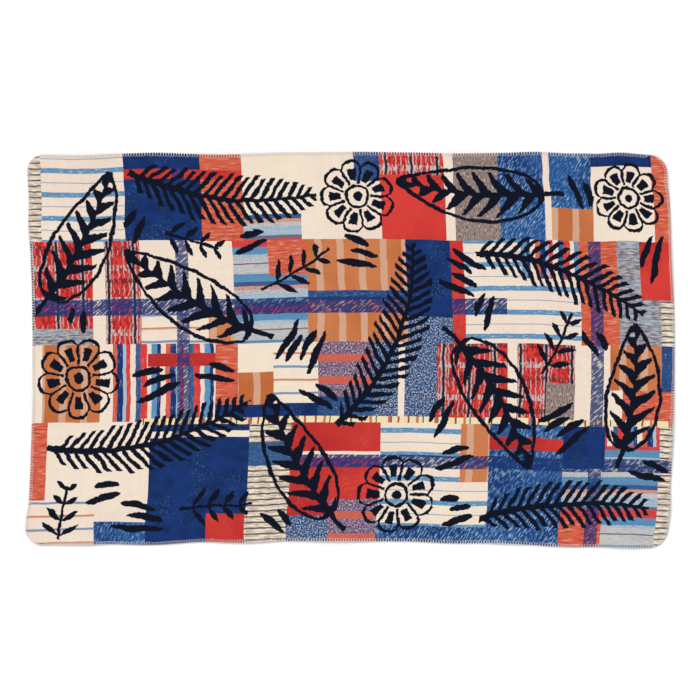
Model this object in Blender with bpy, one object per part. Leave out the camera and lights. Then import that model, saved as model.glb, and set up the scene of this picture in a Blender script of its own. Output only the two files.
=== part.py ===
"""Fleece blanket laid flat on its back: one brushed sheet with rounded corners.

The blanket lies on the plane z = 0 with its long side along X and its printed face up.
It is one closed sheet. Its flat cut is a rectangle, and as it lies the ends bow towards +X,
the long edges arch towards +Y, and the edges ripple where the sewn rim pulls them in.
Everything is in metres. The origin is the middle of the bounding box, on the plane it rests on.
"""

import math

import bmesh
import bpy

# The flat cut
CLOTH_LENGTH = 1.400
CLOTH_WIDTH = 0.850
CLOTH_THICKNESS = 0.003
CORNER_RADIUS = 0.038
RIM_ROUNDING = 0.0011

# How the four edges lie: where each one meets the corners, and how far its middle stands from
# the straight line between them. A positive arch points along +X or +Y.
LEFT_AT_CORNERS, LEFT_ARCH = -0.7055, 0.0135
RIGHT_AT_CORNERS, RIGHT_ARCH = 0.6900, 0.0185
TOP_AT_CORNERS, TOP_ARCH = 0.4245, 0.0055
BOTTOM_AT_CORNERS, BOTTOM_ARCH = -0.4315, 0.0135
BOTTOM_SLANT = 0.0025  # the lower right corner lies this much lower, the lower left one higher

# Ripples along the edges. Columns: edge, middle of the ripple along that edge, half of its
# length, how far it pushes the edge outwards, how high it lifts the edge off the floor,
# and how far in from the edge the lift runs out.
RIPPLES = (
    ("top", -0.580, 0.095, -0.0032, 0.0050, 0.110),
    ("top", -0.425, 0.070, 0.0012, 0.0000, 0.080),
    ("top", -0.265, 0.150, -0.0045, 0.0065, 0.150),
    ("top", 0.030, 0.100, 0.0010, 0.0000, 0.080),
    ("top", 0.240, 0.110, -0.0022, 0.0040, 0.120),
    ("top", 0.415, 0.085, 0.0030, 0.0000, 0.080),
    ("top", 0.515, 0.045, 0.0000, 0.0045, 0.090),
    ("top", 0.600, 0.060, 0.0035, 0.0000, 0.080),
    ("bottom", -0.570, 0.080, 0.0010, 0.0030, 0.080),
    ("bottom", -0.425, 0.130, 0.0052, 0.0000, 0.080),
    ("bottom", -0.225, 0.110, 0.0030, 0.0030, 0.090),
    ("bottom", -0.020, 0.120, 0.0000, 0.0050, 0.130),
    ("bottom", 0.235, 0.100, 0.0028, 0.0000, 0.080),
    ("bottom", 0.345, 0.070, 0.0005, 0.0035, 0.090),
    ("bottom", 0.475, 0.150, 0.0050, 0.0000, 0.080),
    ("bottom", 0.610, 0.070, 0.0010, 0.0045, 0.110),
    ("left", 0.265, 0.070, 0.0036, 0.0000, 0.080),
    ("left", 0.190, 0.050, 0.0000, 0.0045, 0.090),
    ("left", -0.110, 0.080, -0.0022, 0.0055, 0.120),
    ("left", -0.375, 0.055, 0.0038, 0.0030, 0.080),
    ("right", 0.362, 0.028, -0.0032, 0.0055, 0.070),
    ("right", 0.200, 0.130, -0.0030, 0.0035, 0.110),
    ("right", -0.160, 0.140, -0.0012, 0.0045, 0.100),
    ("right", -0.345, 0.060, 0.0012, 0.0040, 0.080),
)

# Mesh cells along and across, and how much closer the lines are at the edges than mid-sheet
CELLS_ALONG = 64
CELLS_ACROSS = 40
EDGE_CROWDING = 0.25

RIM_CORNER_ANGLE = math.radians(60)
FLEECE_CREAM = (0.81, 0.70, 0.58, 1.0)
FLEECE_ROUGHNESS = 0.95


def clear_scene():
    for old in list(bpy.data.objects):
        bpy.data.objects.remove(old)


def swell(offset, half_length):
    """A smooth hump: 1 at its middle and 0 from half_length outwards."""
    share = min(abs(offset) / half_length, 1.0)
    return 0.5 + 0.5 * math.cos(math.pi * share)


def crowded(share):
    """Moves a grid line at share, from -1 to 1, towards the nearer edge."""
    return share * (1 + EDGE_CROWDING - EDGE_CROWDING * share * share)


def rounded_corner(u, v):
    """Draws the flat rectangle's square corners in to their radius."""
    past_u = abs(u) - (CLOTH_LENGTH / 2 - CORNER_RADIUS)
    past_v = abs(v) - (CLOTH_WIDTH / 2 - CORNER_RADIUS)
    if past_u <= 0 or past_v <= 0:
        return u, v
    pull = 1 - max(past_u, past_v) / math.hypot(past_u, past_v)
    return u - math.copysign(past_u * pull, u), v - math.copysign(past_v * pull, v)


def edge_shift(edge, along):
    """How far the ripples push this edge outwards at a place along it."""
    return sum(
        push * swell(along - middle, half_length)
        for name, middle, half_length, push, _, _ in RIPPLES
        if name == edge
    )


def lift(u, v):
    """How high the ripples raise the cloth's underside at a point of the flat cut."""
    inward = {
        "left": u + CLOTH_LENGTH / 2,
        "right": CLOTH_LENGTH / 2 - u,
        "bottom": v + CLOTH_WIDTH / 2,
        "top": CLOTH_WIDTH / 2 - v,
    }
    height = 0.0
    for edge, middle, half_length, _, rise, reach in RIPPLES:
        along = u if edge in ("top", "bottom") else v
        fade = max(0.0, 1 - inward[edge] / reach)
        height += rise * swell(along - middle, half_length) * fade * fade
    return height


def laid(u, v):
    """Where a point of the flat cut comes to lie, before the sheet is centred."""
    bow = 1 - (2 * v / CLOTH_WIDTH) ** 2
    arch = 1 - (2 * u / CLOTH_LENGTH) ** 2
    slant = BOTTOM_SLANT * 2 * u / CLOTH_LENGTH
    left = LEFT_AT_CORNERS + LEFT_ARCH * bow - edge_shift("left", v)
    right = RIGHT_AT_CORNERS + RIGHT_ARCH * bow + edge_shift("right", v)
    bottom = BOTTOM_AT_CORNERS + BOTTOM_ARCH * arch - slant - edge_shift("bottom", u)
    top = TOP_AT_CORNERS + TOP_ARCH * arch + edge_shift("top", u)
    x = left + (u / CLOTH_LENGTH + 0.5) * (right - left)
    y = bottom + (v / CLOTH_WIDTH + 0.5) * (top - bottom)
    return x, y, lift(u, v)


def underside():
    """The cloth's underside as a mesh of quads, centred on the origin."""
    bm = bmesh.new()
    bmesh.ops.create_grid(bm, x_segments=CELLS_ALONG, y_segments=CELLS_ACROSS, size=1.0)
    for vert in bm.verts:
        flat_u = CLOTH_LENGTH / 2 * crowded(vert.co.x)
        flat_v = CLOTH_WIDTH / 2 * crowded(vert.co.y)
        vert.co = laid(*rounded_corner(flat_u, flat_v))
    for axis in (0, 1):
        middle = (min(v.co[axis] for v in bm.verts) + max(v.co[axis] for v in bm.verts)) / 2
        for vert in bm.verts:
            vert.co[axis] -= middle
    mesh = bpy.data.meshes.new("fleece_sheet")
    bm.to_mesh(mesh)
    bm.free()
    return mesh


def fleece_material():
    material = bpy.data.materials.new("brushed_fleece")
    material.use_nodes = True
    shader = material.node_tree.nodes["Principled BSDF"]
    shader.inputs["Base Color"].default_value = FLEECE_CREAM
    shader.inputs["Roughness"].default_value = FLEECE_ROUGHNESS
    shader.inputs["Metallic"].default_value = 0.0
    return material


def fleece_sheet():
    """The whole blanket: the underside given its thickness upwards and a soft rim."""
    mesh = underside()
    mesh.materials.append(fleece_material())
    sheet = bpy.data.objects.new("fleece_sheet", mesh)
    bpy.context.scene.collection.objects.link(sheet)
    body = sheet.modifiers.new("cloth thickness", "SOLIDIFY")
    body.thickness = CLOTH_THICKNESS
    body.offset = 1.0
    rim = sheet.modifiers.new("soft rim", "BEVEL")
    rim.width = RIM_ROUNDING
    rim.segments = 1
    rim.limit_method = "ANGLE"
    rim.angle_limit = RIM_CORNER_ANGLE
    return sheet


clear_scene()
fleece_sheet()
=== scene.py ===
"""Looks of the fleece blanket: its brushed, printed sheet and its overedge stitch, on a pale floor.

The packed model is the frame, and it gives the sheet its place. The blanket lies flat on its
back with its long side along X. Its flat cut has coordinates of its own, u along and v across,
with their zero in the middle of the cut. Everything is in metres.
"""

import math

import bpy
import numpy as np
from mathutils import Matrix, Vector, noise


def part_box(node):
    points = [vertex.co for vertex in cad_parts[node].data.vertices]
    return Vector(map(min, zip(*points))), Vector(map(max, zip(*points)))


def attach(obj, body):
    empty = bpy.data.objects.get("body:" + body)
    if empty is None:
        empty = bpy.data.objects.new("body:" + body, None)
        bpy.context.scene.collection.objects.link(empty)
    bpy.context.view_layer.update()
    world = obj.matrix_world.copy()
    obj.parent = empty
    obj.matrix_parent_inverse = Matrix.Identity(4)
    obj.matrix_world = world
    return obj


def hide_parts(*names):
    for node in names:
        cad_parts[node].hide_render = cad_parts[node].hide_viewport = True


bl_info = {
    "name": "Fleece Blanket",
    "version": (1, 0, 0),
    "blender": (4, 5, 0),
    "location": "3D View > Sidebar > Blanket",
    "description": "Builds a printed fleece blanket with its overedge stitch, laid out on a floor",
    "category": "Object",
}

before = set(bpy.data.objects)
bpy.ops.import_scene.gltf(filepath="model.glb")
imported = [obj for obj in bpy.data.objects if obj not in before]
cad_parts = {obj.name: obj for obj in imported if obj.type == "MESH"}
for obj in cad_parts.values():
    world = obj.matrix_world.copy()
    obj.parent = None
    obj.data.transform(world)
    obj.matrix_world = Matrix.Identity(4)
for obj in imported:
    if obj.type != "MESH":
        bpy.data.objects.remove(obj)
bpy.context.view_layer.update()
SHEET_NODE = "fleece_sheet"
SHEET_LOW, SHEET_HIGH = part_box(SHEET_NODE)

# The flat cut, and how its four edges lie, as in the model's own source
CLOTH_LENGTH = 1.400
CLOTH_WIDTH = 0.850
CORNER_RADIUS = 0.038
CUT_SIZE = np.array([CLOTH_LENGTH, CLOTH_WIDTH])
LEFT_AT_CORNERS, LEFT_ARCH = -0.7055, 0.0135
RIGHT_AT_CORNERS, RIGHT_ARCH = 0.6900, 0.0185
TOP_AT_CORNERS, TOP_ARCH = 0.4245, 0.0055
BOTTOM_AT_CORNERS, BOTTOM_ARCH = -0.4315, 0.0135
BOTTOM_SLANT = 0.0025  # the lower right corner lies this much lower, the lower left one higher

# Ripples along the edges. Columns: edge, middle of the ripple along that edge, half of its
# length, how far it pushes the edge outwards, how high it lifts the edge off the floor,
# and how far in from the edge the lift runs out.
RIPPLES = (
    ("top", -0.580, 0.095, -0.0032, 0.0050, 0.110),
    ("top", -0.425, 0.070, 0.0012, 0.0000, 0.080),
    ("top", -0.265, 0.150, -0.0045, 0.0065, 0.150),
    ("top", 0.030, 0.100, 0.0010, 0.0000, 0.080),
    ("top", 0.240, 0.110, -0.0022, 0.0040, 0.120),
    ("top", 0.415, 0.085, 0.0030, 0.0000, 0.080),
    ("top", 0.515, 0.045, 0.0000, 0.0045, 0.090),
    ("top", 0.600, 0.060, 0.0035, 0.0000, 0.080),
    ("bottom", -0.570, 0.080, 0.0010, 0.0030, 0.080),
    ("bottom", -0.425, 0.130, 0.0052, 0.0000, 0.080),
    ("bottom", -0.225, 0.110, 0.0030, 0.0030, 0.090),
    ("bottom", -0.020, 0.120, 0.0000, 0.0050, 0.130),
    ("bottom", 0.235, 0.100, 0.0028, 0.0000, 0.080),
    ("bottom", 0.345, 0.070, 0.0005, 0.0035, 0.090),
    ("bottom", 0.475, 0.150, 0.0050, 0.0000, 0.080),
    ("bottom", 0.610, 0.070, 0.0010, 0.0045, 0.110),
    ("left", 0.265, 0.070, 0.0036, 0.0000, 0.080),
    ("left", 0.190, 0.050, 0.0000, 0.0045, 0.090),
    ("left", -0.110, 0.080, -0.0022, 0.0055, 0.120),
    ("left", -0.375, 0.055, 0.0038, 0.0030, 0.080),
    ("right", 0.362, 0.028, -0.0032, 0.0055, 0.070),
    ("right", 0.200, 0.130, -0.0030, 0.0035, 0.110),
    ("right", -0.160, 0.140, -0.0012, 0.0045, 0.100),
    ("right", -0.345, 0.060, 0.0012, 0.0040, 0.080),
)

# Faint creases in the pile. Columns: the two ends on the cut, half width, height (a trough is minus)
CREASES = (
    (-0.560, 0.425, -0.520, 0.170, 0.030, -0.0005),
    (-0.250, 0.425, -0.215, 0.230, 0.034, -0.0005),
    (0.255, 0.425, 0.235, 0.290, 0.028, -0.0004),
    (-0.700, -0.115, -0.510, -0.090, 0.030, -0.0005),
    (0.700, 0.190, 0.540, 0.150, 0.032, -0.0004),
    (0.700, -0.170, 0.500, -0.215, 0.036, -0.0005),
    (-0.035, -0.425, -0.010, -0.250, 0.032, -0.0005),
    (0.600, -0.425, 0.560, -0.270, 0.030, -0.0004),
)

# The sheet's mesh: extra grid lines close to the cut edge, by their distance in from it
RIM_LINES = (0.0, 0.0012, 0.0035)
RIM_INSET = 0.0006  # the face and the back end this far inside the outline
RIM_SHARE = 0.62  # and at this share of the half thickness there
BAKE_MARGIN, BAKE_SCALE, BACK_ROW = 0.01, 0.697, 0.63  # the map for baking: face below, back above
PRINT_RIM_STEP = 0.0010  # width that the print allows for the rounded rim itself
WOBBLE_FADE = 0.020  # the print's wobble grows from nothing at the rim to full strength here
NOISE_SEED = 7  # fixes the wobble, which would otherwise change from run to run
PRESS_START, PRESS_END = 0.0050, 0.0160  # the stitch presses the pile this far in

# The print's blocks, as a quilter would lay them. Columns: fabric, left, right, bottom, top.
# A later row covers an earlier one.
PATCHES = (
    ("ticking", -0.700, -0.490, 0.235, 0.425),
    ("ribbed", -0.700, -0.672, 0.235, 0.425),
    ("navy", -0.490, -0.322, 0.235, 0.425),
    ("melange", -0.322, -0.231, 0.235, 0.425),
    ("red", -0.490, -0.231, 0.369, 0.390),
    ("cream", -0.231, 0.070, 0.235, 0.425),
    ("marled", -0.231, -0.105, 0.235, 0.291),
    ("blue", 0.014, 0.070, 0.362, 0.425),
    ("red", 0.070, 0.210, 0.235, 0.425),
    ("check", 0.070, 0.210, 0.376, 0.425),
    ("tweed", 0.210, 0.329, 0.235, 0.425),
    ("cream", 0.210, 0.231, 0.235, 0.425),
    ("slashed", 0.329, 0.532, 0.235, 0.425),
    ("cream", 0.427, 0.441, 0.235, 0.425),
    ("ochre", 0.441, 0.532, 0.235, 0.306),
    ("cream", 0.532, 0.700, 0.235, 0.425),
    ("navy", 0.532, 0.665, 0.397, 0.425),
    ("melange", 0.665, 0.700, 0.235, 0.425),
    ("check", -0.700, -0.462, 0.008, 0.235),
    ("cream", -0.567, -0.539, 0.008, 0.235),
    ("grey", -0.700, -0.567, 0.008, 0.043),
    ("cream", -0.462, -0.259, 0.008, 0.235),
    ("lined", -0.462, -0.315, 0.008, 0.078),
    ("ochre", -0.315, -0.259, 0.008, 0.078),
    ("marled", -0.259, -0.098, 0.008, 0.235),
    ("melange", -0.182, -0.098, 0.156, 0.235),
    ("ochre", -0.098, 0.119, 0.008, 0.235),
    ("denim", -0.098, 0.119, 0.099, 0.121),
    ("navy", 0.119, 0.217, 0.008, 0.235),
    ("speckled", 0.119, 0.217, 0.008, 0.064),
    ("ticking", 0.217, 0.497, 0.008, 0.235),
    ("bars", 0.371, 0.497, 0.149, 0.235),
    ("red", 0.217, 0.245, 0.008, 0.235),
    ("melange", 0.497, 0.581, 0.008, 0.235),
    ("grey", 0.581, 0.700, 0.008, 0.235),
    ("red", 0.630, 0.700, 0.106, 0.235),
    ("ribbed", 0.672, 0.700, 0.008, 0.106),
    ("ochre", -0.700, -0.553, -0.155, 0.008),
    ("cream", -0.700, -0.679, -0.155, 0.008),
    ("bars", -0.553, -0.301, -0.155, 0.008),
    ("cream", -0.553, -0.525, -0.155, 0.008),
    ("red", -0.448, -0.301, -0.042, -0.014),
    ("cream", -0.301, -0.077, -0.155, 0.008),
    ("melange", -0.301, -0.252, -0.120, 0.008),
    ("ochre", -0.252, -0.175, -0.120, -0.056),
    ("navy", -0.301, -0.077, -0.155, -0.120),
    ("lined", -0.175, -0.077, -0.120, 0.008),
    ("heather", -0.077, 0.042, -0.155, 0.008),
    ("blue", -0.077, 0.042, -0.155, -0.106),
    ("speckled", 0.042, 0.182, -0.155, 0.008),
    ("cream", 0.098, 0.112, -0.155, 0.008),
    ("check", 0.182, 0.483, -0.155, 0.008),
    ("cream", 0.336, 0.357, -0.155, 0.008),
    ("tweed", 0.420, 0.483, -0.155, -0.071),
    ("cream", 0.483, 0.700, -0.155, 0.008),
    ("ochre", 0.560, 0.672, -0.085, 0.008),
    ("melange", 0.588, 0.700, -0.155, -0.085),
    ("blue", 0.672, 0.700, -0.085, 0.008),
    ("cream", -0.700, -0.441, -0.425, -0.155),
    ("lined", -0.700, -0.553, -0.425, -0.326),
    ("melange", -0.700, -0.665, -0.326, -0.155),
    ("slashed", -0.553, -0.441, -0.425, -0.376),
    ("navy", -0.441, -0.224, -0.425, -0.155),
    ("red", -0.308, -0.224, -0.425, -0.361),
    ("cream", -0.441, -0.224, -0.191, -0.177),
    ("ribbed", -0.224, -0.133, -0.425, -0.155),
    ("blue", -0.224, -0.133, -0.255, -0.205),
    ("red", -0.133, 0.063, -0.425, -0.155),
    ("speckled", -0.133, -0.042, -0.425, -0.369),
    ("heather", -0.042, 0.063, -0.425, -0.334),
    ("cream", -0.133, 0.063, -0.241, -0.227),
    ("ticking", 0.063, 0.301, -0.425, -0.155),
    ("slashed", 0.063, 0.301, -0.425, -0.390),
    ("ochre", 0.238, 0.301, -0.290, -0.155),
    ("slashed", 0.301, 0.462, -0.425, -0.155),
    ("red", 0.301, 0.462, -0.219, -0.191),
    ("marled", 0.462, 0.700, -0.425, -0.155),
    ("navy", 0.462, 0.553, -0.255, -0.155),
    ("melange", 0.462, 0.553, -0.425, -0.362),
    ("bars", 0.553, 0.672, -0.205, -0.155),
    ("ribbed", 0.672, 0.700, -0.425, -0.155),
    ("banded", -0.462, 0.700, -0.162, -0.148),
)

# Dark bands woven through the blocks under them. Columns: left, right, bottom, top, depth of shade
CROSS_BANDS = (
    (-0.700, 0.336, 0.076, 0.108, 0.95),
    (-0.133, 0.700, -0.264, -0.232, 0.95),
    (-0.385, -0.357, -0.425, 0.425, 0.90),
    (0.518, 0.546, -0.425, 0.235, 0.92),
)

# The ink drawing: leaves, fern fronds, rosettes, sprigs and brush dabs, tossed over the blocks.
# Columns: kind, middle (u, v), turn in degrees, half length, half width, bend in degrees
MOTIFS = (
    ("leaf", -0.592, 0.222, 60, 0.183, 0.062, 24),
    ("fern", -0.278, 0.328, -7, 0.208, 0.066, 32),
    ("rosette", -0.600, -0.062, 10, 0.086, 0.086, 0),
    ("leaf", -0.345, 0.100, 149, 0.190, 0.064, -28),
    ("fern", -0.433, -0.205, 13, 0.232, 0.064, 44),
    ("sprig", -0.624, -0.355, 84, 0.058, 0.036, 0),
    ("dabs", -0.113, 0.000, 62, 0.056, 0.047, 0),
    ("dabs", -0.452, -0.366, -8, 0.062, 0.03525, 0),
    ("dabs", -0.432, -0.072, 18, 0.056, 0.03525, 0),
    ("sprig", -0.345, 0.235, -16, 0.060, 0.036, 0),
    ("rosette", 0.018, 0.328, 0, 0.078, 0.078, 0),
    ("leaf", -0.113, -0.262, 121, 0.178, 0.062, -28),
    ("sprig", -0.120, 0.165, 30, 0.088, 0.040, 20),
    ("dabs", 0.018, 0.205, -15, 0.046, 0.03525, 0),
    ("fern", 0.092, 0.010, 67, 0.222, 0.066, 48),
    ("leaf", 0.288, 0.335, 176, 0.186, 0.060, -20),
    ("rosette", 0.102, -0.322, 0, 0.082, 0.082, 0),
    ("dabs", 0.240, 0.163, -28, 0.048, 0.047, 0),
    ("leaf", 0.310, -0.096, -58, 0.186, 0.064, -26),
    ("dabs", 0.222, -0.238, 15, 0.046, 0.0235, 0),
    ("fern", 0.462, 0.170, -20, 0.196, 0.064, -38),
    ("sprig", 0.447, 0.010, 64, 0.076, 0.040, 18),
    ("sprig", -0.290, -0.345, 4, 0.078, 0.040, 0),
    ("rosette", 0.610, 0.328, 20, 0.072, 0.072, 0),
    ("leaf", 0.612, -0.101, 84, 0.160, 0.060, 22),
    ("fern", 0.467, -0.334, 5, 0.190, 0.060, -28),
    ("dabs", 0.462, -0.166, 35, 0.050, 0.047, 0),
    ("dabs", -0.300, -0.053, -15, 0.046, 0.0235, 0),
    ("dabs", -0.600, 0.062, 80, 0.026, 0.0235, 0),
    ("dabs", -0.470, 0.266, 60, 0.034, 0.0235, 0),
    ("dabs", -0.220, 0.233, 15, 0.040, 0.0235, 0),
    ("dabs", -0.075, -0.105, -35, 0.045, 0.0235, 0),
    ("dabs", 0.285, 0.080, 66, 0.040, 0.0235, 0),
    ("dabs", 0.190, -0.150, 60, 0.048, 0.0235, 0),
    ("dabs", -0.155, -0.375, -50, 0.036, 0.0235, 0),
    ("dabs", 0.234, -0.352, 12, 0.036, 0.03525, 0),
    ("dabs", 0.655, 0.200, 70, 0.056, 0.0235, 0),
    ("dabs", 0.508, 0.345, -78, 0.040, 0.0235, 0),
    ("dabs", 0.524, 0.022, -60, 0.036, 0.0235, 0),
    ("dabs", 0.650, -0.260, -18, 0.044, 0.0235, 0),
    ("dabs", -0.540, -0.312, 8, 0.040, 0.0235, 0),
)
# Room round each kind for its strokes and their tremble: beyond its ends, beyond its sides
MOTIF_ROOM = {
    "leaf": (0.011, 0.009),
    "fern": (0.011, 0.011),
    "rosette": (0.011, 0.011),
    "sprig": (0.016, 0.010),
    "dabs": (0.016, 0.006),
}

INK_TREMBLES = ((34, 1.0), (150, 0.45))  # in a drawn line: waves a metre, share of the tremble
HATCH_BASE = 0.30  # how strongly a cross band shades between the strokes of its hatching
LINE_SOFTNESS = 0.0004  # half of the width over which the edge of a printed line fades

# Bands of colour that repeat across a fabric. Columns: dye, width
MARLED_ROWS = (
    ("sky", 0.017), ("silver", 0.021), ("slate", 0.0025), ("silver", 0.013), ("pale_sky", 0.006),
    ("sky", 0.015), ("red", 0.018), ("slate", 0.007), ("pale_sky", 0.019), ("silver", 0.009),
    ("blush", 0.008), ("denim", 0.010),
)
BANDED_ROWS = (
    ("straw", 0.019), ("rust", 0.0045), ("straw", 0.014), ("ochre", 0.006), ("straw", 0.008),
    ("soot", 0.0025), ("straw", 0.023), ("coral", 0.005), ("slate", 0.004), ("straw", 0.012),
    ("rust", 0.004),
)
BARS_ROWS = (
    ("red", 0.014), ("cream", 0.009), ("sky", 0.012), ("navy", 0.008), ("cream", 0.011),
    ("coral", 0.010), ("navy", 0.013), ("pale_sky", 0.007), ("red", 0.009), ("cream", 0.012),
    ("denim", 0.011),
)

# Layers of noise, each cut at its own height. The cloth's lumps: lumps a metre, layer, share.
# The print's wobble: waves a metre, layer.
LUMPS = ((9, 3.1, 1.0), (34, 8.4, 0.45))
WOBBLES = ((28, 1.7), (4.5, 5.2))

# The brushed nap, as layers of noise: tufts, brushed streaks, fuzz and faint ribs. Each layer darkens
# the colour where it lowers the relief: a random mottle with painted shade in the pile's hollows.
# Columns: grains a metre along and across, layer, detail, turn in degrees, share of the shade,
# share of the relief
NAP = (
    (240, 330, 1.0, 4.0, 34, 0.24, 0.8),
    (22, 70, 2.0, 3.0, 0, 0.10, 0.6),
    (900, 1400, 4.0, 4.0, 61, 0.30, 0.9),
    (150, 9, 6.0, 2.0, 0, 0.09, 0.3),
)
CRUSH_AND_SHADE_START, CRUSH_AND_SHADE_END = 0.0045, 0.0085  # the stitch's crushed pile and its painted shade reach this far in and make it this much darker: the crushed pile's own tone with painted shade of the stitch
CRUSH_AND_PAINTED_SHADE = 0.15  # and this much darker
FLEECE_FINISH = {
    "Roughness": 0.95,
    "Specular IOR Level": 0.05,
    "Sheen Weight": 0.05,
    "Sheen Roughness": 0.6,
}
MIX_SHARE, MIX_GROUND, MIX_FIGURE, MIX_RESULT = 0, 6, 7, 2  # a Mix node's sockets for colours

# The overedge stitch: points and sides of its threads, and how its stitches differ
HOOK_POINTS, HOOK_SIDES = 9, 5
DASH_POINTS, DASH_SIDES, DASH_WIDTH = 5, 5, 0.45
PURL_STEPS, PURL_SIDES, PURL_WIDTH = 4, 4, 0.7
STITCH_SLANT = math.radians(4)  # to either side, at random
STITCH_SIZES = (0.86, 1.10)  # the shortest and the longest stitch
TENSION_WAVES, SLACK = 5.0, 0.45  # waves a metre in the thread's tension, and where it starts to pull
STITCH_PULL = math.radians(80)  # slant that a full pull would give
END_LEAN = math.radians(14)  # slant along the two short ends
PLIES = 1400  # of the thread, a metre

FLOOR_DROP = 0.0002  # the floor lies this far under the blanket
GLOW_TOP, GLOW_FULL = 0.30, 0.10  # heights in the sky where its glow sets in, and is full
KEY_ANGLE = math.radians(28)
KEY_FROM = Vector((-0.55, 0.62, 1.0))
LENS, SENSOR = 85.0, 36.0  # in millimetres
CAMERA_OVER = (-0.0005, -0.0005)
STUDIO_GAIN = 1.06  # a white cloth shows this much brighter than its own reflectance


def reflectance(shown):
    """How much light the cloth gives back where the screen shows this level, 0 to 255."""
    shown /= 255
    linear = shown / 12.92 if shown <= 0.04045 else ((shown + 0.055) / 1.055) ** 2.4
    return linear / STUDIO_GAIN


def dye(label, note, *shown):
    """A colour property whose default shows as this screen colour under the studio light."""
    default = [reflectance(value) for value in shown]
    return bpy.props.FloatVectorProperty(
        name=label, description=note, default=default, subtype="COLOR", size=3, min=0.0, max=1.0
    )


def level(label, note, default, **options):
    """A number property that isn't below 0."""
    return bpy.props.FloatProperty(name=label, description=note, default=default, min=0.0, **options)


def length(label, note, metres):
    """A length property in metres."""
    return level(label, note, metres, unit="LENGTH", precision=5)


class BlanketDyes(bpy.types.PropertyGroup):
    """Colours of the print, the back and the thread."""

    cream: dye("Cream", "Ground of the plain pale blocks", 240, 219, 203)
    pale_cream: dye("Pale cream", "Sunlit patches of the cream, and ground of the ribs", 243, 227, 206)
    ivory: dye("Ivory", "The plain back", 236, 228, 214)
    navy: dye("Navy", "The dark blue blocks and the cross bands", 22, 52, 113)
    deep_navy: dye("Deep navy", "Shade in the navy", 17, 43, 92)
    cobalt: dye("Cobalt", "Ground of the slashed blue blocks", 38, 82, 144)
    denim: dye("Denim", "Ground of the washed and the speckled blue blocks", 55, 90, 138)
    sky: dye("Sky", "Stripes of the ticking, and flecks on blue", 93, 145, 184)
    pale_sky: dye("Pale sky", "Light flecks on blue", 168, 190, 206)
    red: dye("Red", "The plain red blocks", 216, 62, 56)
    deep_red: dye("Deep red", "Shade in the reds", 172, 38, 38)
    coral: dye("Coral", "Ground of the melange blocks", 214, 96, 70)
    rust: dye("Rust", "Dark rows in the melange, and bars", 172, 74, 50)
    blush: dye("Blush", "Pale rows in the melange", 214, 154, 134)
    ochre: dye("Ochre", "Ground of the orange blocks", 204, 124, 78)
    amber: dye("Amber", "Deeper patches of the orange blocks", 188, 102, 52)
    pale_ochre: dye("Pale ochre", "Upright bars on the orange", 214, 168, 140)
    straw: dye("Straw", "Ground of the narrow band", 238, 222, 176)
    slate: dye("Slate", "Ground of the grey blocks, and dark marl", 112, 108, 122)
    silver: dye("Silver", "Pale marl, and pale lines of the check", 197, 195, 193)
    plum: dye("Plum", "Ground of the heather blocks", 122, 90, 120)
    taupe: dye("Taupe", "Ground of the tweed, and shade in the ribs", 146, 126, 118)
    soot: dye("Soot", "Lines of the check and the ribs", 38, 36, 48)
    ink: dye("Ink", "The drawing", 8, 15, 33)
    thread: dye("Thread", "The overedge thread", 236, 229, 226)


class BlanketSheetSizes(bpy.types.PropertyGroup):
    """Sizes of the sheet's pile and print."""

    cell: length("Cell", "Side of one cell of the sheet's mesh", 0.0070)
    thickness: length("Thickness", "Cloth with its pile, away from the rim", 0.0030)
    pressed: length("Pressed thickness", "Cloth under the overedge stitch", 0.0020)
    rim_lift: length("Rim lift", "How far the stitches hold the pressed rim off the floor", 0.0013)
    lumps: length("Lumps", "Height of the pile's low unevenness", 0.00022)
    wobble: length("Print wobble", "How far the print strays from its true lines", 0.0008)


class BlanketInkSizes(bpy.types.PropertyGroup):
    """Sizes of the ink drawing."""

    pen: length("Pen", "Half width of a drawn line", 0.0041)
    bleed: length("Bleed", "Width over which ink fades into the pile", 0.0011)
    tremble: length("Tremble", "How far a drawn line strays", 0.0120)


class BlanketStitchSizes(bpy.types.PropertyGroup):
    """Sizes of the overedge stitch."""

    pitch: length("Pitch", "From one stitch to the next", 0.0058)
    bite: length("Bite", "How far a stitch reaches in from the rim", 0.0070)
    thread: length("Thread radius", "Half of the woolly thread's width", 0.00085)
    reach: length("Reach", "How far the thread's middle stands outside the rim", 0.0002)
    seed: bpy.props.IntProperty(
        name="Seed", description="Chooses how each stitch slants", default=7, min=0
    )


class BlanketStudio(bpy.types.PropertyGroup):
    """The floor, the light and the camera."""

    floor_side: length("Floor side", "Side of the square floor", 60.0)
    floor_shade: level("Floor shade", "Reflectance of the floor", 0.93, max=1.0)
    fill: level("Fill light", "Brightness of the even light all round", 0.72)
    key: level("Key light", "Strength of the soft light from the upper left", 1.60)
    camera_height: length("Camera height", "Of the lens above the floor", 3.607)


def swell(offset, half_length):
    """A smooth hump: 1 at its middle and 0 from half_length outwards."""
    share = min(abs(offset) / half_length, 1.0)
    return 0.5 + 0.5 * math.cos(math.pi * share)


def eased(value, start, end):
    """0 up to start, 1 from end, with a smooth rise between."""
    share = min(max((value - start) / (end - start), 0.0), 1.0)
    return share * share * (3 - 2 * share)


def rounded_corner(u, v):
    """Draws the flat rectangle's square corners in to their radius."""
    past_u = abs(u) - (CLOTH_LENGTH / 2 - CORNER_RADIUS)
    past_v = abs(v) - (CLOTH_WIDTH / 2 - CORNER_RADIUS)
    if past_u <= 0 or past_v <= 0:
        return u, v
    pull = 1 - max(past_u, past_v) / math.hypot(past_u, past_v)
    return u - math.copysign(past_u * pull, u), v - math.copysign(past_v * pull, v)


def edge_shift(edge, along):
    """How far the ripples push this edge outwards at a place along it."""
    return sum(
        push * swell(along - middle, half_length)
        for name, middle, half_length, push, _, _ in RIPPLES
        if name == edge
    )


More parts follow.
